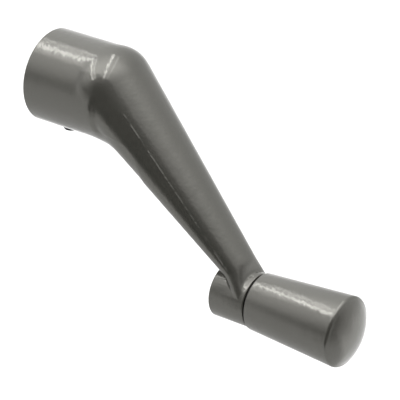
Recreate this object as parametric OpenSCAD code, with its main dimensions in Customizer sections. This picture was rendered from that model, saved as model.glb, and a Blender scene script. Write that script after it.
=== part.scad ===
// Window crank handle: a die-cast crank that pushes onto the splined stud of a
// casement window operator, with a freely turning knob at the end of its arm.
//
// Frame: the origin is the centre of the hub's mouth, on the stud's axis.
// +Y points out of the mouth, towards the window frame, so the hub, arm and knob
// reach towards -Y. The arm hangs down, towards -Z. X = 0 is the plane of symmetry.
// Depths below are measured from the mouth, along -Y.

/* [Crank] */
// Distance between the stud's axis and the knob's axis
crank_radius = 41.2; // [36:0.2:48]
// Depth of the boss face that the knob turns against
boss_face_depth = 59.4; // [56:0.2:66]

/* [Hub] */
// Outside diameter of the hub
hub_d = 22.2; // [20:0.1:26]
// Depth to which the hub stays a plain cylinder
hub_straight = 15; // [14:0.5:17]
// Width of the bevel around the hub's mouth
hub_bevel = 0.3; // [0.2:0.1:1]

/* [Spindle socket] */
// Diameter of the plain mouth of the socket
pilot_d = 10; // [9.8:0.05:10.6]
// Length of the plain mouth of the socket
pilot_depth = 3; // [2:0.25:3.1]
// Diameter over the roots of the spline grooves
spline_major_d = 9.7; // [9.6:0.05:9.8]
// Diameter over the crests of the spline teeth
spline_minor_d = 8.7; // [8.5:0.05:9.1]
// Number of spline teeth
spline_count = 24; // [16:1:36]
// Depth of the blind end of the socket
socket_depth = 14; // [12:0.5:15]

/* [Set screw] */
// Thread diameter of the set screw
screw_d = 4.17; // [3.4:0.01:4.4]
// How far inside the socket's mouth radius the screw's tip stands when tightened
screw_tip_lead = 0.05; // [0.05:0.05:0.4]
// Depth of the set screw's axis from the mouth
screw_depth = 5.3; // [5.3:0.1:8]
// How far the screw stands out of the hub when tightened
screw_stand_out = 1.4; // [0.2:0.05:1.5]
// Width across the flats of the screw's hexagon socket
screw_hex = 1.98; // [1.5:0.01:2.1]
// Depth of the screw's hexagon socket
screw_hex_depth = 2.4; // [1.5:0.1:3]
// Width of the bevel around the screw's outer end
screw_bevel = 0.3; // [0.1:0.05:0.5]
// Width of the bevel around the screw's tip
screw_tip_bevel = 0.6; // [0.3:0.05:0.9]
// Radial clearance between the screw and its hole
screw_clearance = 0.05; // [0.02:0.01:0.1]

/* [Arm] */
// Lean of the arm away from straight down, in degrees
arm_lean = 42.5; // [38:0.5:47]
// How far inside each side of the hub the arm's rounded upper end stays
root_inset = 0.2; // [0.1:0.05:0.6]
// Half thickness of the arm's rounded upper end
root_half_thick = 7.3; // [6:0.1:7.6]
// Half length of the arm's rounded upper end
root_half_length = 10.1; // [9:0.1:11]
// Depth of the centre of the arm's rounded upper end
root_depth = 17.8; // [17:0.1:19]
// How far the top of that rounded end stays below the top of the hub
root_set_down = 0.05; // [0.05:0.05:0.5]
// Half width of the arm where it reaches the boss
tip_half_width = 5.2; // [4.5:0.1:6.2]
// Half thickness of the arm where it reaches the boss
tip_half_thick = 3; // [2.6:0.1:3.6]
// How far above the boss the arm's lower end lies
tip_above_boss = 0.8; // [0.4:0.1:1.5]
// How far behind the collar the middle of the arm's lower end lies
tip_behind_collar = 3.2; // [2.8:0.1:3.8]
// Thickness of the flare that joins the arm's lower end to the boss
web_thick = 0.5; // [0.2:0.1:3]
// How far inside the boss's surface the flare ends
web_inset = 0.1; // [0.05:0.05:0.8]
// Radius of the curve inside the elbow, under the hub
elbow_radius = 5; // [3:0.5:7]
// Width of the elbow's webs as a share of the hub's width
elbow_width = 0.75; // [0.6:0.05:0.9]
// How far inside the arm's surface the elbow's webs end
elbow_inset = 0.1; // [0.1:0.05:0.4]

/* [Boss] */
// Outside diameter of the boss
boss_d = 13; // [12:0.1:14]
// Length of the boss
boss_length = 9.6; // [8:0.1:12]
// Height of the collar between the arm and the knob
collar = 1.9; // [1:0.1:3]
// Width of the bevel around the back of the boss
boss_bevel = 0.3; // [0.2:0.1:0.8]
// Depth of the recess in the back of the boss
recess_depth = 2; // [1.6:0.1:2.5]
// Space between the peen washer's rim and the side of its recess
recess_clearance = 0.4; // [0.2:0.1:0.6]

/* [Knob] */
// Length of the knob's tapered side
knob_length = 23.5; // [20:0.5:28]
// Diameter of the knob's end next to the boss
knob_inner_d = 13.8; // [13:0.1:15]
// Diameter of the knob's outer end
knob_outer_d = 16.9; // [15:0.1:19]
// Height of the knob's domed end
dome_height = 2.8; // [2:0.1:4]
// Radius of the rounding between the taper and the dome
dome_edge = 0.9; // [0.4:0.1:1.2]
// Width of the bevel around the knob's inner end
knob_bevel = 0.3; // [0.1:0.05:0.6]
// Gap between the boss and the knob, which the thrust washer fills
knob_gap = 0.6; // [0.4:0.05:1]
// Solid metal left between the bore and the top of the dome
knob_end_wall = 4.6; // [4:0.1:6]

/* [Knob pin] */
// Diameter of the pin inside the knob
pin_d = 6; // [5:0.1:6.6]
// Diameter of the pin's tail, which passes through the boss
tail_d = 4.6; // [4:0.1:4.8]
// How far the pin's peened head reaches past its tail
peen_reach = 0.9; // [0.6:0.1:1.2]
// Radial clearance between the pin and the knob
pin_clearance = 0.05; // [0.02:0.01:0.1]
// Radial clearance between the tail and the boss
tail_clearance = 0.01; // [0.01:0.01:0.03]
// Width of the bevels on the pin's ends
pin_bevel = 0.5; // [0.2:0.1:0.8]
// Space between the pin's tip and the end of the knob's bore
pin_end_gap = 0.6; // [0.4:0.1:1]

/* [Washers and ring] */
// How far inside the boss's surface the thrust washer's rim stays
thrust_inset = 0.5; // [0.2:0.1:1]
// Play between the thrust washer and the knob
thrust_play = 0.1; // [0.06:0.01:0.15]
// Thickness of the washer under the peened end of the pin
peen_washer_thick = 0.7; // [0.5:0.1:0.8]
// Diameter of the washer under the peened end of the pin
peen_washer_d = 8.6; // [8:0.1:9]
// Thickness of the snap ring
ring_thick = 1; // [0.8:0.1:1.2]
// How far the snap ring stands out of the pin
ring_reach = 0.8; // [0.7:0.1:1]
// Depth of the snap ring's groove in the pin
ring_groove_depth = 0.6; // [0.4:0.1:0.9]
// Distance between the snap ring and the pin's tip
ring_from_tip = 2; // [1.5:0.1:3]
// Opening of the snap ring, in degrees
ring_opening = 50; // [30:5:90]
// Radial clearance inside the snap ring, and half its play along the pin
ring_clearance = 0.03; // [0.02:0.01:0.06]
// Clearance between the snap ring and its groove in the knob
groove_clearance = 0.15; // [0.1:0.01:0.3]

/* [Hidden] */

hub_r = hub_d / 2;
boss_r = boss_d / 2;
boss_back_depth = boss_face_depth - boss_length;
recess_d = peen_washer_d + 2 * recess_clearance;
screw_length = hub_r + screw_stand_out + screw_tip_lead - pilot_d / 2;
recess_floor_depth = boss_back_depth + recess_depth;

// The arm's upper end is an ellipsoid that lies along the arm; its top is just below the hub's.
root_half_width = hub_r - root_inset;
root_top = sqrt(pow(root_half_length * cos(arm_lean), 2) + pow(root_half_thick * sin(arm_lean), 2));
root_rise = hub_r - root_set_down - root_top;

web_r = boss_r - web_inset;
web_face_depth = boss_face_depth - collar;
web_back_depth = web_face_depth - web_thick;
tip_drop = crank_radius - boss_r - tip_above_boss;
tip_depth = web_face_depth - tip_behind_collar;
section_thick = 0.2;

knob_face_depth = boss_face_depth + knob_gap;
knob_edge_depth = knob_face_depth + knob_length;
knob_top_depth = knob_edge_depth + dome_height;
bore_end_depth = knob_top_depth - knob_end_wall;
pin_tip_depth = bore_end_depth - pin_end_gap;
ring_depth = pin_tip_depth - ring_from_tip - ring_thick;
ring_d = pin_d + 2 * ring_reach;
ring_groove_d = pin_d - 2 * ring_groove_depth;
thrust_thick = knob_gap - thrust_play;
thrust_d = boss_d - 2 * thrust_inset;
peen_depth = recess_floor_depth - peen_washer_thick;
peen_round = 0.4;
peen_inset = 0.1;
peen_end_depth = boss_back_depth + peen_inset;

casting_colour = [0.43, 0.42, 0.39];
steel_colour = [0.62, 0.62, 0.63];
zinc_plate_colour = [0.72, 0.72, 0.7];
nylon_colour = [0.06, 0.06, 0.06];

big_fn = 96;
hull_fn = 48;
small_fn = 48;
web_fn = 64;

// How far a cutting solid runs past the face that it cuts.
overshoot = 1;

// Cylinder along the stud's axis, from one depth to a greater one.
module along(from_depth, to_depth, d, fn = big_fn)
    translate([0, -from_depth, 0])
        rotate([90, 0, 0])
            cylinder(h = to_depth - from_depth, d = d, $fn = fn);

// Turned solid from a list of [radius, depth] points.
module turned(points, fn = big_fn)
    rotate([90, 0, 0])
        rotate_extrude($fn = fn)
            polygon(points);

module at_knob_axis() translate([0, 0, -crank_radius]) children();

// Places X across the arm, Y out of its upper side and Z down its length.
module on_arm(depth, drop)
    translate([0, -depth, -drop])
        rotate([180 - arm_lean, 0, 0])
            children();

module arm_root()
    on_arm(root_depth, -root_rise)
        scale([root_half_width, root_half_thick, root_half_length])
            sphere(r = 1, $fn = hull_fn);

module arm_section(depth, drop, half_width, half_thick)
    on_arm(depth, drop)
        linear_extrude(height = section_thick)
            scale([half_width, half_thick])
                circle(r = 1, $fn = hull_fn);

module arm_tip() arm_section(tip_depth, tip_drop, tip_half_width, tip_half_thick);

// A share of 0 is at the arm's rounded upper end, and a share of 1 at the boss.
function between(share, root_value, tip_value) = root_value + share * (tip_value - root_value);
module arm_share(share, inset)
    arm_section(
        between(share, root_depth, tip_depth),
        between(share, -root_rise, tip_drop),
        between(share, root_half_width, tip_half_width) - inset,
        between(share, root_half_thick, tip_half_thick) - inset
    );

// The lowest line of the arm: its drop and its depth at a share, and the share at a drop.
function belly_drop(share) =
    between(share, -root_rise, tip_drop)
    + between(share, root_half_thick, tip_half_thick) * sin(arm_lean);
function belly_depth(share) =
    between(share, root_depth, tip_depth)
    - between(share, root_half_thick, tip_half_thick) * cos(arm_lean);
function belly_share(drop) = (drop - belly_drop(0)) / (belly_drop(1) - belly_drop(0));

// The inside of the elbow is a fan of webs whose edges are tangents of one curve.
elbow_turn = atan2(belly_drop(1) - belly_drop(0), belly_depth(1) - belly_depth(0));
elbow_corner_depth = belly_depth(belly_share(hub_r));
elbow_reach = elbow_radius * tan(elbow_turn / 2);
elbow_webs = 3;

// The webs start inside the hub, just under its surface.
web_overlap = 2;
hub_skin = 0.01;

module lower_hub(depth)
    intersection() {
        along(hub_straight - web_overlap, depth, hub_d - 2 * hub_skin, web_fn);
        translate([-hub_r, -2 * depth, -2 * hub_r])
            cube([2 * hub_r, 2 * depth, 2 * hub_r]);
    }

module elbow_web(turn) {
    start = elbow_corner_depth - elbow_reach + elbow_radius * tan(turn / 2);
    slide = elbow_reach - elbow_radius * tan((elbow_turn - turn) / 2);
    scale([elbow_width, 1, 1])
        hull() {
            lower_hub(start);
            arm_share(belly_share(hub_r + slide * sin(elbow_turn)), elbow_inset);
        }
}

module arm() {
    hull() {
        arm_root();
        arm_tip();
    }
    for (i = [1 : elbow_webs])
        elbow_web(elbow_turn * i / (elbow_webs + 1));
    hull() {
        arm_tip();
        at_knob_axis() along(web_back_depth, web_face_depth, 2 * web_r, web_fn);
    }
}

module hub()
    turned([
        [0, 0],
        [hub_r - hub_bevel, 0],
        [hub_r, hub_bevel],
        [hub_r, hub_straight],
        [0, hub_straight]
    ]);

module boss()
    at_knob_axis()
        turned([
            [0, boss_back_depth],
            [boss_r - boss_bevel, boss_back_depth],
            [boss_r, boss_back_depth + boss_bevel],
            [boss_r, boss_face_depth],
            [0, boss_face_depth]
        ]);

// V-shaped teeth: points alternate between the groove roots and the tooth crests.
function spline_points() = [
    for (i = [0 : 2 * spline_count - 1])
        let (r = (i % 2 == 0 ? spline_major_d : spline_minor_d) / 2)
            r * [cos(180 * i / spline_count), sin(180 * i / spline_count)]
];

module spindle_socket() {
    along(-overshoot, pilot_depth, pilot_d);
    rotate([90, 0, 0])
        linear_extrude(height = socket_depth)
            polygon(spline_points());
}

module screw_hole()
    translate([0, -screw_depth, -hub_r - overshoot])
        cylinder(h = hub_r + overshoot, d = screw_d + 2 * screw_clearance, $fn = small_fn);

module pin_holes()
    at_knob_axis() {
        along(boss_back_depth - overshoot, recess_floor_depth, recess_d);
        along(boss_back_depth, boss_face_depth + overshoot, tail_d + 2 * tail_clearance, small_fn);
    }

// Zinc die casting: hub, arm and boss in one piece.
module crank_arm()
    color(casting_colour)
        difference() {
            union() {
                hub();
                arm();
                boss();
            }
            spindle_socket();
            screw_hole();
            pin_holes();
        }

// Headless screw that bears on the stud and keeps the handle on it.
module set_screw()
    color(steel_colour)
        translate([0, -screw_depth, -hub_r - screw_stand_out])
            difference() {
                rotate_extrude($fn = small_fn)
                    polygon([
                        [0, 0],
                        [screw_d / 2 - screw_bevel, 0],
                        [screw_d / 2, screw_bevel],
                        [screw_d / 2, screw_length - screw_tip_bevel],
                        [screw_d / 2 - screw_tip_bevel, screw_length],
                        [0, screw_length]
                    ]);
                translate([0, 0, -overshoot])
                    cylinder(h = screw_hex_depth + overshoot, d = screw_hex / cos(30), $fn = 6);
            }

// Ring around the knob's axis, from one depth to a greater one.
module washer(from_depth, thick, d, hole_d)
    at_knob_axis()
        difference() {
            along(from_depth, from_depth + thick, d);
            along(from_depth - overshoot, from_depth + thick + overshoot, hole_d, small_fn);
        }

module thrust_washer()
    color(nylon_colour)
        washer(boss_face_depth, thrust_thick, thrust_d, pin_d + 2 * pin_clearance);

module peen_washer()
    color(zinc_plate_colour)
        washer(peen_depth, peen_washer_thick, peen_washer_d, tail_d + 2 * tail_clearance);

// Shoulder pin: the tail goes through the boss and is peened over its washer.
module knob_pin()
    color(steel_colour)
        at_knob_axis()
            turned([
                [0, peen_end_depth],
                [tail_d / 2 + peen_reach - peen_round, peen_end_depth],
                [tail_d / 2 + peen_reach, peen_end_depth + peen_round],
                [tail_d / 2 + peen_reach, peen_depth],
                [tail_d / 2, peen_depth],
                [tail_d / 2, boss_face_depth],
                [pin_d / 2, boss_face_depth],
                [pin_d / 2, ring_depth - ring_clearance],
                [ring_groove_d / 2, ring_depth - ring_clearance],
                [ring_groove_d / 2, ring_depth + ring_thick + ring_clearance],
                [pin_d / 2, ring_depth + ring_thick + ring_clearance],
                [pin_d / 2, pin_tip_depth - pin_bevel],
                [pin_d / 2 - pin_bevel, pin_tip_depth],
                [0, pin_tip_depth]
            ]);

// Split ring that sits in the pin's groove and holds the knob on.
module snap_ring()
    color(steel_colour)
        at_knob_axis()
            translate([0, -ring_depth, 0])
                rotate([90, 0, 0])
                    rotate([0, 0, 270 + ring_opening / 2])
                        rotate_extrude(angle = 360 - ring_opening, $fn = big_fn)
                            translate([ring_groove_d / 2 + ring_clearance, 0])
                                square([(ring_d - ring_groove_d) / 2 - ring_clearance, ring_thick]);

// Points of the knob's rounded edge, from the taper round to the dome.
edge_centre_r = knob_outer_d / 2 - dome_edge;
edge_steps = 6;
edge_turn = 72;
function edge_points() = [
    for (i = [0 : edge_steps])
        let (a = edge_turn * i / edge_steps)
            [edge_centre_r + dome_edge * cos(a), knob_edge_depth - dome_edge / 2 + dome_edge * sin(a)]
];

// The dome is an arc that starts where the rounded edge ends.
dome_start = edge_points()[edge_steps];
dome_sag = knob_top_depth - dome_start[1];
dome_r = (pow(dome_start[0], 2) + pow(dome_sag, 2)) / (2 * dome_sag);
dome_half_angle = asin(dome_start[0] / dome_r);
dome_steps = 8;
function dome_points() = [
    for (i = [1 : dome_steps])
        let (a = dome_half_angle * (1 - i / dome_steps))
            [dome_r * sin(a), knob_top_depth - dome_r * (1 - cos(a))]
];

module knob()
    color(casting_colour)
        at_knob_axis()
            difference() {
                turned(concat(
                    [[0, knob_face_depth], [knob_inner_d / 2 - knob_bevel, knob_face_depth]],
                    [[knob_inner_d / 2, knob_face_depth + knob_bevel]],
                    edge_points(),
                    dome_points()
                ));
                along(knob_face_depth - overshoot, bore_end_depth, pin_d + 2 * pin_clearance, small_fn);
                along(
                    ring_depth - groove_clearance,
                    ring_depth + ring_thick + groove_clearance,
                    ring_d + 2 * groove_clearance,
                    small_fn
                );
            }

crank_arm();
set_screw();
thrust_washer();
knob_pin();
peen_washer();
snap_ring();
knob();
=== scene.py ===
"""Painted die-cast window crank handle: a splined hub, a slanting arm and a knob that turns on a pin.

The frame gives every fit and place. +Y points out of the hub's mouth, the arm hangs towards -Z,
and X = 0 is the plane of symmetry. Lengths are in metres; MM turns millimetres into metres.
"""
import math

import bmesh
import bpy
from mathutils import Matrix, Vector


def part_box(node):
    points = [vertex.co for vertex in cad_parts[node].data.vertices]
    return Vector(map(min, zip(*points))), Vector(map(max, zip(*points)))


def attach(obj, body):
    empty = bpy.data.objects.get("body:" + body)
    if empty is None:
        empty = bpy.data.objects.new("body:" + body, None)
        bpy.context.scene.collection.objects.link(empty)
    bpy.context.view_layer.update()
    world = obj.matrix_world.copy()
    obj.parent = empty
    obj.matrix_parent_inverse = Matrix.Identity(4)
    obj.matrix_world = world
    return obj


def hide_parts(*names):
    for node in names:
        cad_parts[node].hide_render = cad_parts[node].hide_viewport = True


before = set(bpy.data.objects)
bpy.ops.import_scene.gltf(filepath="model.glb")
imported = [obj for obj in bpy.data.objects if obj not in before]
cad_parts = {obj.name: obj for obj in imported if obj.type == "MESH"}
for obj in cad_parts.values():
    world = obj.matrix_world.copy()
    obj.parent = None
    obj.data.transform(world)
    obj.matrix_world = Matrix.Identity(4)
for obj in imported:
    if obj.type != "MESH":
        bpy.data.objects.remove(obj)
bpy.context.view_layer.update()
MM = 0.001


# ---------------------------------------------------------------------------------------------
# Crank: one zinc die casting, which is the hub, the arm and the boss in one piece. It is trimmed,
# tumbled and dipped in a glossy warm grey paint, which softens every inside corner.

crank_low, crank_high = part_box("crank_arm")
washer_low, washer_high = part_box("thrust_washer")
knob_low, knob_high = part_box("knob")

hub_radius = crank_high.z
knob_drop = -(knob_low.z + knob_high.z) / 2
boss_radius = -(knob_drop + crank_low.z)
boss_face = -washer_high.y
boss_length = 9.6 * MM
boss_back = boss_face - boss_length
collar_height = 1.9 * MM

arm_lean = math.radians(42.5)
root_size = Vector((hub_radius - 0.25 * MM, 8.45 * MM, 8.8 * MM))
root_depth = 17.5 * MM
root_top = math.hypot(root_size.z * math.cos(arm_lean), root_size.y * math.sin(arm_lean))
root_rise = hub_radius - 0.1 * MM - root_top
tip_size = Vector((5.2 * MM, 3.0 * MM))
tip_depth = boss_face - collar_height - 3.2 * MM
tip_drop = knob_drop - boss_radius - 0.8 * MM


def turned(bm, outline, drop, steps):
    """Spins an outline of (radius, depth) points into a solid round the axis at that drop."""
    points = [bm.verts.new((0, -depth, radius - drop)) for radius, depth in outline]
    lines = [bm.edges.new(pair) for pair in zip(points, points[1:])]
    bmesh.ops.spin(
        bm, geom=points + lines, cent=(0, 0, -drop), axis=(0, 1, 0),
        angle=math.tau, steps=steps, use_merge=True,
    )


def rounded(centre_radius, centre_depth, size, start, end, steps=6):
    """Outline points along an arc, from one angle to another: 0 is outwards, 90 is deeper."""
    angles = [math.radians(start + (end - start) * i / steps) for i in range(steps + 1)]
    return [
        (centre_radius + size * math.cos(a), centre_depth + size * math.sin(a)) for a in angles
    ]


def on_arm(depth, drop):
    """Moves a shape to the arm: its X stays, its Y leaves the arm's upper side, its Z runs down."""
    return Matrix.Translation((0, -depth, -drop)) @ Matrix.Rotation(math.pi - arm_lean, 4, "X")


def arm_section(bm, share, narrowing=1.0):
    """Adds an oval section of the arm: share 0 is at its rounded upper end and 1 at the boss."""
    depth = root_depth + share * (tip_depth - root_depth)
    drop = -root_rise + share * (tip_drop + root_rise)
    half_width = (root_size.x + share * (tip_size.x - root_size.x)) * narrowing
    half_thick = root_size.y + share * (tip_size.y - root_size.y)
    place = on_arm(depth, drop) @ Matrix.Diagonal((half_width, half_thick, 1, 1))
    return bmesh.ops.create_circle(bm, segments=128, radius=1, matrix=place)["verts"]


def ring(bm, depth, radius, drop=0, **settings):
    """Adds a circle round the hub's axis, or round one that lies lower, at a depth."""
    place = Matrix.Translation((0, -depth, -drop)) @ Matrix.Rotation(math.pi / 2, 4, "X")
    return bmesh.ops.create_circle(bm, radius=radius, matrix=place, **settings)["verts"]


def wrapped(bm, verts):
    """Closes a convex skin round the vertices and clears what is left inside it."""
    made = bmesh.ops.convex_hull(bm, input=verts)
    left = set(made["geom_interior"] + made["geom_unused"])
    spare = [geometry for geometry in left if isinstance(geometry, bmesh.types.BMVert)]
    bmesh.ops.delete(bm, geom=spare, context="VERTS")


def closed(bm):
    """Merges doubles and points every face outwards."""
    bmesh.ops.remove_doubles(bm, verts=bm.verts, dist=0.001 * MM)
    bmesh.ops.recalc_face_normals(bm, faces=bm.faces)


def piece_from(bm, name):
    """Makes an object at the origin from a bmesh and links it to the scene."""
    mesh = bpy.data.meshes.new(name)
    bm.to_mesh(mesh)
    bm.free()
    piece = bpy.data.objects.new(name, mesh)
    bpy.context.scene.collection.objects.link(piece)
    return piece


def apply_modifiers(piece):
    """Replaces the piece's mesh with what its modifiers make."""
    bpy.context.view_layer.update()
    shown = piece.evaluated_get(bpy.context.evaluated_depsgraph_get())
    mesh = bpy.data.meshes.new_from_object(shown)
    piece.modifiers.clear()
    piece.data = mesh


def smooth_shaded(piece, sharp_degrees):
    """Shades the piece smooth, apart from edges sharper than the given angle."""
    for face in piece.data.polygons:
        face.use_smooth = True
    piece.data.set_sharp_from_angle(angle=math.radians(sharp_degrees))


rough = bmesh.new()
overshoot = 2 * MM

# The hub's inner end slopes from the top of the elbow down to where the arm has covered it.
hub_top_end = 16.8 * MM
hub_end = 20.0 * MM
hub_slope = 1.1
hub_rings = []
for end in (-overshoot, hub_end):
    hub_rings += ring(rough, end, hub_radius, segments=192)
for vert in hub_rings:
    vert.co.y = max(vert.co.y, -hub_top_end - hub_slope * (hub_radius - vert.co.z))
wrapped(rough, hub_rings)

# The boss's core is a little smaller than the boss, which is joined on as a clean solid later.
core_inset = 0.5 * MM
core_radius = boss_radius - core_inset / 2
turned(
    rough,
    [
        (0, boss_back + core_inset),
        (core_radius, boss_back + core_inset),
        (core_radius, boss_face - core_inset),
        (0, boss_face - core_inset),
    ],
    knob_drop, 128,
)

# The arm runs from a rounded upper end, which lies inside the hub, to an oval beside the boss.
dome = bmesh.ops.create_uvsphere(
    rough, u_segments=128, v_segments=64, radius=1,
    matrix=on_arm(root_depth, -root_rise) @ Matrix.Diagonal((*root_size, 1)),
)
wrapped(rough, dome["verts"] + arm_section(rough, 1.0))

# The inside of the elbow is a fan of webs whose edges are tangents of one curve.
elbow_radius = 4 * MM
elbow_width = 0.9


def belly(share):
    """Depth and drop of the arm's lowest line at a share of its length."""
    half_thick = root_size.y + share * (tip_size.y - root_size.y)
    depth = root_depth + share * (tip_depth - root_depth) - half_thick * math.cos(arm_lean)
    drop = -root_rise + share * (tip_drop + root_rise) + half_thick * math.sin(arm_lean)
    return depth, drop


def belly_share(drop):
    """Share of the arm's length at which its lowest line has a drop."""
    return (drop - belly(0)[1]) / (belly(1)[1] - belly(0)[1])


elbow_turn = math.atan2(belly(1)[1] - belly(0)[1], belly(1)[0] - belly(0)[0])
elbow_reach = elbow_radius * math.tan(elbow_turn / 2)
elbow_start = belly(belly_share(hub_radius))[0] - elbow_reach
elbow_webs = 5
web_start = 13 * MM
for number in range(1, elbow_webs + 1):
    turn = elbow_turn * number / (elbow_webs + 1)
    slide = elbow_reach - elbow_radius * math.tan((elbow_turn - turn) / 2)
    lower_hub = []
    for depth in (web_start, elbow_start + elbow_radius * math.tan(turn / 2)):
        lower_hub += ring(rough, depth, hub_radius, segments=128)
    for vert in lower_hub:
        vert.co.z = min(vert.co.z, 0)
        vert.co.x *= elbow_width
    web_share = belly_share(hub_radius + slide * math.sin(elbow_turn))
    wrapped(rough, lower_hub + arm_section(rough, web_share, elbow_width))

# The arm flares to the boss's full width. The flare stops at the collar on top of the boss and
# reaches the boss's face at its sides.
flare_inset = 0.05 * MM
flare_set_back = 0.3 * MM
flare_ring = ring(rough, boss_face, boss_radius - flare_inset, knob_drop, segments=128)
for vert in flare_ring:
    height = max((vert.co.z + knob_drop) / boss_radius, 0)
    vert.co.y += flare_set_back + (collar_height - flare_set_back) * height
wrapped(rough, flare_ring + arm_section(rough, 1.0))
closed(rough)
crank = piece_from(rough, "crank_casting")

# One skin over all of it, smoothed as the paint does, and most of all inside the elbow.
skin = crank.modifiers.new("skin", "REMESH")
skin.mode = "VOXEL"
skin.voxel_size = 0.3 * MM
apply_modifiers(crank)

casting_rounds = 14
elbow_rounds = 150
elbow_middle = Vector((0, -23 * MM, -13 * MM))
elbow_size = 12 * MM
softened = bmesh.new()
softened.from_mesh(crank.data)
near_elbow = [v for v in softened.verts if (v.co - elbow_middle).length < elbow_size]
for rounds, near in ((casting_rounds, softened.verts), (elbow_rounds, near_elbow)):
    for _ in range(rounds):
        bmesh.ops.smooth_vert(
            softened, verts=near, factor=0.5, use_axis_x=True, use_axis_y=True, use_axis_z=True
        )
softened.to_mesh(crank.data)
softened.free()


def combine(piece, other, operation="DIFFERENCE"):
    """Cuts another solid out of the piece, or joins it on, and removes the other solid."""
    change = piece.modifiers.new("change", "BOOLEAN")
    change.operation = operation
    change.solver = "MANIFOLD"
    change.object = other
    apply_modifiers(piece)
    bpy.data.objects.remove(other)


# The mouth of the hub: a flat face with a rounded rim and the socket's plain mouth.
rim = 0.35 * MM
pilot_radius = 5.0 * MM
pilot_depth = 3.0 * MM
cutter_width = 2 * hub_radius
cutter_height = 5 * MM
mouth = bmesh.new()
turned(
    mouth,
    [(0, pilot_depth), (pilot_radius, pilot_depth), (pilot_radius, 0)]
    + rounded(hub_radius - rim, rim, rim, -90, 0)
    + [(hub_radius + rim, 2 * rim), (cutter_width, 2 * rim)]
    + [(cutter_width, -cutter_height), (0, -cutter_height)],
    0, 192,
)
closed(mouth)
combine(crank, piece_from(mouth, "mouth_cutter"))

# The splined socket: 24 V-shaped teeth down to a blind end.
spline_teeth = 24
groove_radius = 4.85 * MM
crest_radius = 4.35 * MM
socket_depth = 14 * MM
splines = bmesh.new()
star = ring(
    splines, pilot_depth / 2, groove_radius, cap_ends=True, segments=2 * spline_teeth
)
for number, vert in enumerate(star):
    if number % 2:
        vert.co.x *= crest_radius / groove_radius
        vert.co.z *= crest_radius / groove_radius
deep = bmesh.ops.extrude_face_region(splines, geom=splines.faces[:])["geom"]
deep_verts = [geometry for geometry in deep if isinstance(geometry, bmesh.types.BMVert)]
bmesh.ops.translate(splines, verts=deep_verts, vec=(0, pilot_depth / 2 - socket_depth, 0))
closed(splines)
combine(crank, piece_from(splines, "spline_cutter"))

# The set screw's hole, which runs from below the hub into its socket.
screw_low, screw_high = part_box("set_screw")
screw_radius = (screw_high.x - screw_low.x) / 2
screw_depth = -(screw_low.y + screw_high.y) / 2
screw_play = 0.05 * MM
hole_radius = screw_radius + screw_play
hole = bmesh.new()
bmesh.ops.create_cone(
    hole, cap_ends=True, segments=64, radius1=hole_radius, radius2=hole_radius,
    depth=2 * hub_radius, matrix=Matrix.Translation((0, -screw_depth, -hub_radius)),
)
closed(hole)
combine(crank, piece_from(hole, "hole_cutter"))

# The boss: a true cylinder with rounded rims, and a recess and a hole for the pin behind.
boss_rim = 0.3 * MM
pin_hole_radius = 2.31 * MM
recess_radius = 4.7 * MM
recess_depth = 2 * MM
past_face = 1 * MM
boss = bmesh.new()
turned(
    boss,
    [(0, boss_back)]
    + rounded(boss_radius - boss_rim, boss_back + boss_rim, boss_rim, -90, 0)
    + rounded(boss_radius - boss_rim, boss_face - boss_rim, boss_rim, 0, 90)
    + [(0, boss_face)],
    knob_drop, 144,
)
closed(boss)
combine(crank, piece_from(boss, "boss_solid"), "UNION")

pin_hole = bmesh.new()
turned(
    pin_hole,
    [
        (0, boss_back - past_face),
        (recess_radius, boss_back - past_face),
        (recess_radius, boss_back + recess_depth),
        (pin_hole_radius, boss_back + recess_depth),
        (pin_hole_radius, boss_face + past_face),
        (0, boss_face + past_face),
    ],
    knob_drop, 128,
)
closed(pin_hole)
combine(crank, piece_from(pin_hole, "pin_hole_cutter"))
smooth_shaded(crank, sharp_degrees=38)


class Value:
    """A number in a node tree, which adds Math nodes as it is used in an expression."""

    def __init__(self, nodes, socket):
        self.nodes = nodes
        self.socket = socket

    def _math(self, operation, first, second=0.5):
        made = self.nodes.node("ShaderNodeMath", {"operation": operation}, {0: first, 1: second})
        return Value(self.nodes, made.outputs[0])

    def __add__(self, other):
        return self._math("ADD", self, other)

    def __sub__(self, other):
        return self._math("SUBTRACT", self, other)

    def __rsub__(self, other):
        return self._math("SUBTRACT", other, self)

    def __mul__(self, other):
        return self._math("MULTIPLY", self, other)

    __radd__ = __add__
    __rmul__ = __mul__

    def size(self):
        """Drops the value's sign."""
        return self._math("ABSOLUTE", self)

    def clamped(self):
        """Keeps the value between 0 and 1."""
        return self._math("MAXIMUM", self._math("MINIMUM", self, 1.0), 0.0)


class Nodes:
    """A tree of shader nodes."""

    def __init__(self, tree):
        self.tree = tree

    def feed(self, node, socket, value):
        """Sets a socket to a value, or links it to an output."""
        target = node.inputs[socket]
        value = value.socket if isinstance(value, Value) else value
        if isinstance(value, bpy.types.NodeSocket):
            self.tree.links.new(value, target)
        else:
            target.default_value = value

    def node(self, kind, settings=None, sockets=None):
        """Adds a node, makes its settings and then fills its sockets."""
        made = self.tree.nodes.new(kind)
        for setting, value in (settings or {}).items():
            setattr(made, setting, value)
        for socket, value in (sockets or {}).items():
            self.feed(made, socket, value)
        return made

    def vector(self, operation, *vectors):
        """The Vector Math node that works on the vectors."""
        settings = {"operation": operation}
        return self.node("ShaderNodeVectorMath", settings, dict(enumerate(vectors)))


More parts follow.
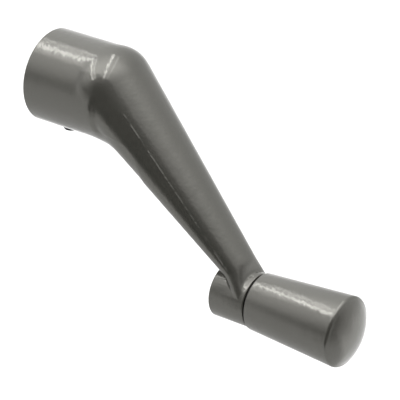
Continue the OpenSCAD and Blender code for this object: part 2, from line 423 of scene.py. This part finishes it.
class Finish(Nodes):
    """A material with one Principled shader, on Object coordinates."""

    def __init__(self, name, **settings):
        self.surface = bpy.data.materials.new(name)
        self.surface.use_nodes = True
        super().__init__(self.surface.node_tree)
        self.shader = self.tree.nodes["Principled BSDF"]
        for socket, value in settings.items():
            self.paint(socket.replace("_", " ").title().replace("Ior", "IOR"), value)
        self.place = self.node("ShaderNodeTexCoord").outputs["Object"]

    def paint(self, socket, value):
        """Feeds one of the shader's sockets."""
        self.feed(self.shader, socket, value)

    def noise(self, size, detail=2.0, roughness=0.5):
        """Smooth noise from 0 to 1 whose features are about the given size in metres."""
        made = self.node(
            "ShaderNodeTexNoise", sockets={
                "Vector": self.place, "Scale": 1 / size, "Detail": detail, "Roughness": roughness,
            },
        )
        return Value(self, made.outputs["Fac"])

    def along(self, direction):
        """Distance from the origin along a direction, in metres."""
        return Value(self, self.vector("DOT_PRODUCT", self.place, direction).outputs["Value"])

    def blend(self, share, first, second):
        """A colour between two colours."""
        made = self.node(
            "ShaderNodeMix", {"data_type": "RGBA"}, {"Factor": share, 6: first, 7: second}
        )
        return made.outputs[2]

    def bumps(self, height, distance, normal=None):
        """A bump from a height, in metres of relief."""
        sockets = {"Height": height, "Distance": distance, "Strength": 1.0}
        if normal is not None:
            sockets["Normal"] = normal
        return self.node("ShaderNodeBump", sockets=sockets).outputs["Normal"]


# The casting's seam lies in a plane that leans a little towards the arm's tip.
seam_rise = 5.55 * MM
seam_lean = 0.093
seam_width = 0.22 * MM
seam_relief = 0.09 * MM
seam_start_drop = -1 * MM
seam_end_drop = 34 * MM
seam_fade = 0.5 / MM
seam_gaps = 0.38
arm_run = Vector((0, root_depth - tip_depth, -root_rise - tip_drop)).normalized()
arm_upper_side = arm_run.cross(Vector((1, 0, 0)))
seam_start = Vector((0, -root_depth, root_rise)) + seam_rise * arm_upper_side
seam_side = (arm_upper_side + seam_lean * arm_run).normalized()


def die_seam(paint):
    """Relief of the casting's seam, a fine broken ridge down each side of the arm."""
    off_seam = (paint.along(seam_side) - seam_start.dot(seam_side)).size()
    ridge = (1 - off_seam * (1 / seam_width)).clamped()
    drop = paint.along((0, 0, -1))
    below_start = ((drop - seam_start_drop) * seam_fade).clamped()
    above_end = ((seam_end_drop - drop) * seam_fade).clamped()
    breaks = ((paint.noise(2.2 * MM, 3.0) - seam_gaps) * 8).clamped()
    return ridge * (below_start * above_end) * breaks


paint_dark = (0.027, 0.027, 0.022, 1)
paint_light = (0.036, 0.035, 0.029, 1)
nib_colour = (0.07, 0.068, 0.06, 1)


def grey_paint(name, offset, seamed=False):
    """Glossy warm grey baked paint: fine orange peel, slow waves, and a few dust nibs."""
    paint = Finish(name, ior=2.1, specular_tint=(1.0, 0.985, 0.92, 1))
    paint.place = paint.node(
        "ShaderNodeMapping", sockets={"Vector": paint.place, "Location": offset}
    ).outputs[0]
    cloud = paint.noise(7 * MM, 3.0)
    fleck = paint.noise(0.35 * MM, 2.0)
    base = paint.blend(cloud, paint_dark, paint_light)
    paint.paint("Base Color", paint.blend((fleck - 0.6).clamped() * 2.5, base, nib_colour))
    paint.paint("Roughness", 0.1 + 0.07 * paint.noise(3 * MM, 4.0))
    relief = paint.bumps(paint.noise(3.2 * MM, 1.0), 0.05 * MM)
    relief = paint.bumps(paint.noise(0.8 * MM, 2.0), 0.035 * MM, relief)
    if seamed:
        relief = paint.bumps(die_seam(paint), seam_relief, relief)
    paint.paint("Normal", relief)
    return paint.surface


crank.data.materials.clear()
crank.data.materials.append(grey_paint("crank_paint", (0, 0, 0), seamed=True))
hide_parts("crank_arm")
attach(crank, "crank")


# ---------------------------------------------------------------------------------------------
# Knob: a closed, tapered zinc casting with a shallow dome, dipped in the same paint. It is bored
# for the pin and grooved inside for the snap ring.

knob_inner_radius = 6.9 * MM
knob_outer_radius = knob_high.x
knob_face = -knob_high.y
knob_top = -knob_low.y
knob_taper_end = knob_top - 2.8 * MM
edge_round = 0.9 * MM
face_round = 0.3 * MM
bore_bevel = 0.2 * MM
bore_radius = 3.05 * MM
bore_end = knob_top - 4.6 * MM
ring_low, ring_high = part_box("snap_ring")
groove_play = 0.15 * MM
ring_groove_radius = ring_high.x + groove_play
ring_groove_start = -ring_high.y - groove_play
ring_groove_end = -ring_low.y + groove_play

edge_middle = knob_outer_radius - edge_round
edge_line = rounded(edge_middle, knob_taper_end - edge_round / 2, edge_round, 0, 72, 8)
dome_start_radius, dome_start_depth = edge_line[-1]
dome_height = knob_top - dome_start_depth
dome_radius = (dome_start_radius ** 2 + dome_height ** 2) / (2 * dome_height)
dome_angle = math.degrees(math.asin(dome_start_radius / dome_radius))
dome_line = rounded(0, knob_top - dome_radius, dome_radius, 90 - dome_angle, 90, 16)
dome_line[-1] = (0, knob_top)

shape = bmesh.new()
turned(
    shape,
    [(0, bore_end), (bore_radius, bore_end)]
    + [(bore_radius, ring_groove_end), (ring_groove_radius, ring_groove_end)]
    + [(ring_groove_radius, ring_groove_start), (bore_radius, ring_groove_start)]
    + [(bore_radius, knob_face + bore_bevel), (bore_radius + bore_bevel, knob_face)]
    + rounded(knob_inner_radius - face_round, knob_face + face_round, face_round, -90, 0, 5)
    + edge_line
    + dome_line[1:],
    knob_drop, 192,
)
closed(shape)
knob = piece_from(shape, "knob_casting")
smooth_shaded(knob, sharp_degrees=30)
knob.data.materials.append(grey_paint("knob_paint", (0.05, 0.02, 0.03)))
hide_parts("knob")
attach(knob, "knob")


# ---------------------------------------------------------------------------------------------
# Set screw: a headless alloy steel screw with a hexagon socket, blackened, whose thread is cut
# right to its bevelled ends. It stands a little out of the hub's underside.


def bright_steel(name, colour, roughness):
    """Worked steel: cloudy colour, fine wear in the roughness, and a fine grain."""
    steel = Finish(name, metallic=1.0)
    darker = tuple(0.7 * c for c in colour[:3]) + (1,)
    steel.paint("Base Color", steel.blend(steel.noise(1.5 * MM, 4.0), darker, colour))
    steel.paint("Roughness", roughness + 0.15 * steel.noise(0.4 * MM, 3.0))
    steel.paint("Normal", steel.bumps(steel.noise(0.12 * MM, 3.0), 0.004 * MM))
    return steel.surface


screw_pitch = 0.794 * MM
thread_depth = 0.36 * MM
screw_length = screw_high.z - screw_low.z
outer_bevel = 0.3 * MM
tip_bevel = 0.6 * MM
shank_rings = 120
shank_step = (screw_length - outer_bevel - tip_bevel) / shank_rings
shank_line = [(screw_radius, outer_bevel + shank_step * i) for i in range(shank_rings + 1)]
screw_mesh = bmesh.new()
turned(
    screw_mesh,
    [(0, 0), (screw_radius - outer_bevel, 0)]
    + shank_line
    + [(screw_radius - tip_bevel, screw_length), (0, screw_length)],
    0, 48,
)

# The thread's V goes once round for every pitch along the shank.
on_shank = 0.01 * MM
for vert in screw_mesh.verts:
    radius = math.hypot(vert.co.x, vert.co.z)
    if radius > screw_radius - on_shank:
        turns = -vert.co.y / screw_pitch + math.atan2(vert.co.x, vert.co.z) / math.tau
        cut = thread_depth * abs(2 * (turns % 1) - 1)
        vert.co.x *= 1 - cut / radius
        vert.co.z *= 1 - cut / radius
screw_foot = Matrix.Translation((0, -screw_depth, screw_low.z))
upright = Matrix.Rotation(-math.pi / 2, 4, "X")
bmesh.ops.transform(screw_mesh, verts=screw_mesh.verts, matrix=screw_foot @ upright)
closed(screw_mesh)
screw = piece_from(screw_mesh, "set_screw_thread")

hex_depth = 2.4 * MM
hex_half_width = 0.99 * MM
hex_corner = hex_half_width / math.cos(math.radians(30))
key_way = bmesh.new()
bmesh.ops.create_cone(
    key_way, cap_ends=True, segments=6, radius1=hex_corner, radius2=hex_corner,
    depth=2 * hex_depth, matrix=screw_foot,
)
closed(key_way)
combine(screw, piece_from(key_way, "key_way_cutter"))
smooth_shaded(screw, sharp_degrees=35)
screw.data.materials.clear()
screw.data.materials.append(bright_steel("screw_black_oxide", (0.035, 0.035, 0.037, 1), 0.35))
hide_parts("set_screw")
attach(screw, "set_screw")


# ---------------------------------------------------------------------------------------------
# Knob pin: a turned steel shoulder pin. Its tail passes through the boss and is spun over its
# washer into a low domed head with a dimple, and its other end is grooved for the snap ring.

pin_low, pin_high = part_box("knob_pin")
head_end = -pin_high.y
pin_tip = -pin_low.y
shaft_radius = 3.0 * MM
tip_chamfer = 0.5 * MM
tail_radius = 2.3 * MM
head_radius = 3.2 * MM
washer_back = boss_back + 1.3 * MM
groove_floor = 2.4 * MM
pin_groove_play = 0.03 * MM
pin_groove_start = -ring_high.y - pin_groove_play
pin_groove_end = -ring_low.y + pin_groove_play

# The spun head from its dimple outwards, as radius and depth.
head_line = [
    (0, head_end + 0.35 * MM),
    (0.5 * MM, head_end + 0.3 * MM),
    (0.9 * MM, head_end + 0.04 * MM),
    (1.3 * MM, head_end),
    (2.0 * MM, head_end + 0.08 * MM),
    (2.7 * MM, head_end + 0.35 * MM),
    (3.05 * MM, head_end + 0.7 * MM),
    (head_radius, washer_back - 0.15 * MM),
    (head_radius, washer_back),
]
pin_mesh = bmesh.new()
turned(
    pin_mesh,
    head_line
    + [(tail_radius, washer_back), (tail_radius, boss_face), (shaft_radius, boss_face)]
    + [(shaft_radius, pin_groove_start), (groove_floor, pin_groove_start)]
    + [(groove_floor, pin_groove_end), (shaft_radius, pin_groove_end)]
    + [(shaft_radius, pin_tip - tip_chamfer), (shaft_radius - tip_chamfer, pin_tip), (0, pin_tip)],
    knob_drop, 96,
)
closed(pin_mesh)
pin = piece_from(pin_mesh, "knob_pin_turned")
smooth_shaded(pin, sharp_degrees=40)
pin.data.materials.append(bright_steel("pin_steel", (0.55, 0.54, 0.52, 1), 0.28))
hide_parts("knob_pin")
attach(pin, "crank")


# ---------------------------------------------------------------------------------------------
# Thrust washer: a flat black nylon ring, punched from sheet. It lies loose on the pin between the
# boss and the knob, so that the painted faces don't rub. It keeps its plain shape.


def finish_node(node, surface):
    """Gives one of the frame's own pieces a surface."""
    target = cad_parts[node]
    target.data.materials.clear()
    target.data.materials.append(surface)


nylon = Finish("washer_nylon")
nylon_dark = (0.008, 0.008, 0.008, 1)
nylon_light = (0.014, 0.014, 0.014, 1)
nylon.paint("Base Color", nylon.blend(nylon.noise(2 * MM), nylon_dark, nylon_light))
nylon.paint("Roughness", 0.45 + 0.1 * nylon.noise(0.5 * MM))
nylon.paint("Normal", nylon.bumps(nylon.noise(0.2 * MM), 0.005 * MM))
finish_node("thrust_washer", nylon.surface)


# ---------------------------------------------------------------------------------------------
# Peen washer: a punched steel washer, zinc-plated, in the boss's recess. The pin's head is spun over
# it and holds it for good. It keeps its plain shape.

finish_node("peen_washer", bright_steel("washer_zinc", (0.66, 0.67, 0.7, 1), 0.3))


# ---------------------------------------------------------------------------------------------
# Snap ring: a split ring of dark spring steel wire. It sits in the pin's groove, springs out into
# the knob's groove and keeps the knob on. It keeps its plain shape.

finish_node("snap_ring", bright_steel("ring_steel", (0.3, 0.3, 0.31, 1), 0.35))


# ---------------------------------------------------------------------------------------------
# Studio: a camera with a long lens, a white paper floor well below the handle, a bright room with
# darker and brighter sides, and four tubes on the ceiling, which the paint shows as streaks.

view_azimuth = math.radians(-53.663)
view_elevation = math.radians(27.241)
to_camera = Vector((
    math.sin(view_azimuth) * math.cos(view_elevation),
    -math.cos(view_azimuth) * math.cos(view_elevation),
    math.sin(view_elevation),
))
aim = Vector((-0.92, -43.47, -19.68)) * MM
distance = 571.6 * MM

lens = bpy.data.cameras.new("camera")
lens.lens = 225
lens.sensor_width = 36
lens.clip_start = 0.01
camera = bpy.data.objects.new("camera", lens)
bpy.context.scene.collection.objects.link(camera)
camera.rotation_mode = "QUATERNION"
camera.location = aim + to_camera * distance
camera.rotation_quaternion = (-to_camera).to_track_quat("-Z", "Y")
bpy.context.scene.camera = camera

# The paint mirrors the room and not the floor.
floor_drop = 0.45
plane = bmesh.new()
bmesh.ops.create_grid(
    plane, x_segments=1, y_segments=1, size=20, matrix=Matrix.Translation((0, 0, -floor_drop))
)
floor = piece_from(plane, "floor")
paper = Finish("floor_paper", roughness=0.9)
paper.paint("Base Color", (0.93, 0.93, 0.93, 1))
floor.data.materials.append(paper.surface)
floor.visible_glossy = False

world = bpy.data.worlds.new("room")
bpy.context.scene.world = world
world.use_nodes = True
backdrop = world.node_tree.nodes["Background"]
room = Nodes(world.node_tree)
everywhere = room.node("ShaderNodeTexCoord").outputs["Generated"]
flattened = room.vector("MULTIPLY", everywhere, (1, 1, 2)).outputs["Vector"]
flattened = room.vector("NORMALIZE", flattened).outputs["Vector"]


def shade_towards(aim_at, outer_degrees, inner_degrees, centre):
    """A strength that goes from 1 all round to the centre value near one direction."""
    near = room.vector("DOT_PRODUCT", flattened, Vector(aim_at).normalized())
    fade = room.node(
        "ShaderNodeMapRange", {"interpolation_type": "SMOOTHSTEP"}, {
            "Value": near.outputs["Value"],
            "From Min": math.cos(math.radians(outer_degrees)),
            "From Max": math.cos(math.radians(inner_degrees)),
            "To Min": 1.0,
            "To Max": centre,
        },
    )
    return Value(room, fade.outputs["Result"])


# Each side of the room is a direction, the two angles its edge fades between, and its strength.
room_level = 1.4
strength = shade_towards((-0.509, -0.724, 0.465), 64, 30, 0.40) * room_level
for side in (
    ((-0.871, -0.063, -0.487), 35, 1, 0.24),
    ((-0.913, -0.241, 0.328), 69, 1, 0.23),
    ((-0.098, -0.990, 0.101), 67, 1, 0.45),
    ((0.909, -0.162, 0.384), 58, 10, 0.60),
    ((-0.510, -0.222, 0.831), 60, 21, 2.0),
    ((-0.962, 0.085, -0.260), 96, 88, 0.58),
):
    strength = strength * shade_towards(*side)
room.feed(backdrop, "Strength", strength)
room.feed(backdrop, "Color", (1, 1, 1, 1))

# Four parallel tubes, each with its offset across the ceiling, its width and its power in watts.
ceiling = 1.0
tube_length = 1.55
tube_line = Vector((0.855, 0.52, 0)).normalized()
tube_side = Vector((0, 0, 1)).cross(tube_line)
tube_turn = Matrix((tube_side, -tube_line, (0, 0, 1))).transposed().to_quaternion()
tubes = ((0.63, 0.10, 1.9), (0.45, 0.03, 0.65), (-0.15, 0.05, 1.3), (-0.38, 0.03, 0.35))
for number, (offset, width, watts) in enumerate(tubes):
    tube_light = bpy.data.lights.new(f"tube_{number}", "AREA")
    tube_light.shape = "RECTANGLE"
    tube_light.size = width
    tube_light.size_y = tube_length
    tube_light.energy = watts
    tube = bpy.data.objects.new(f"tube_{number}", tube_light)
    bpy.context.scene.collection.objects.link(tube)
    tube.location = tube_side * offset + Vector((0, 0, ceiling))
    tube.rotation_mode = "QUATERNION"
    tube.rotation_quaternion = tube_turn

bpy.context.scene.view_settings.view_transform = "Standard"
